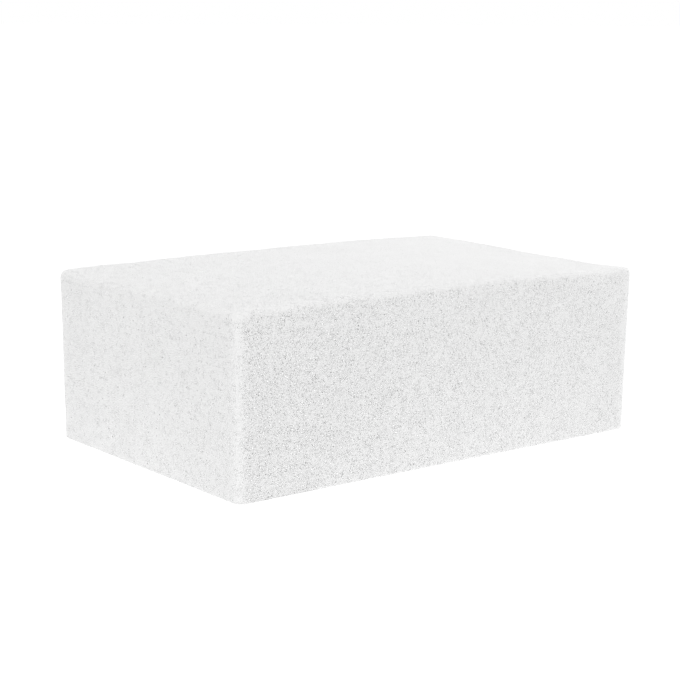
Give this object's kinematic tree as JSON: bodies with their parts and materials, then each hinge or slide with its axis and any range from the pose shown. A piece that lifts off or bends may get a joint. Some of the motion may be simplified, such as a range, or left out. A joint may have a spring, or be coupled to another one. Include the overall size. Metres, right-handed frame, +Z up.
{
  "type": "finish applicator sponge",
  "caption": "Plain rectangular block of fine white foam with a flat base, softened edges and a slightly crowned top, held in the hand to wipe on finish.",
  "frame": {"origin": "centre of the flat base, on the surface that the block rests on", "axes": "+X along the length, +Y across the width from front to back, +Z up from the base to the crowned top"},
  "size_m": [0.146, 0.0952, 0.052],
  "materials": {
    "foam": "fine open-cell foam, dry and matte"
  },
  "bodies": {
    "root": {"foam_block": "foam"}
  },
  "joints": []
}
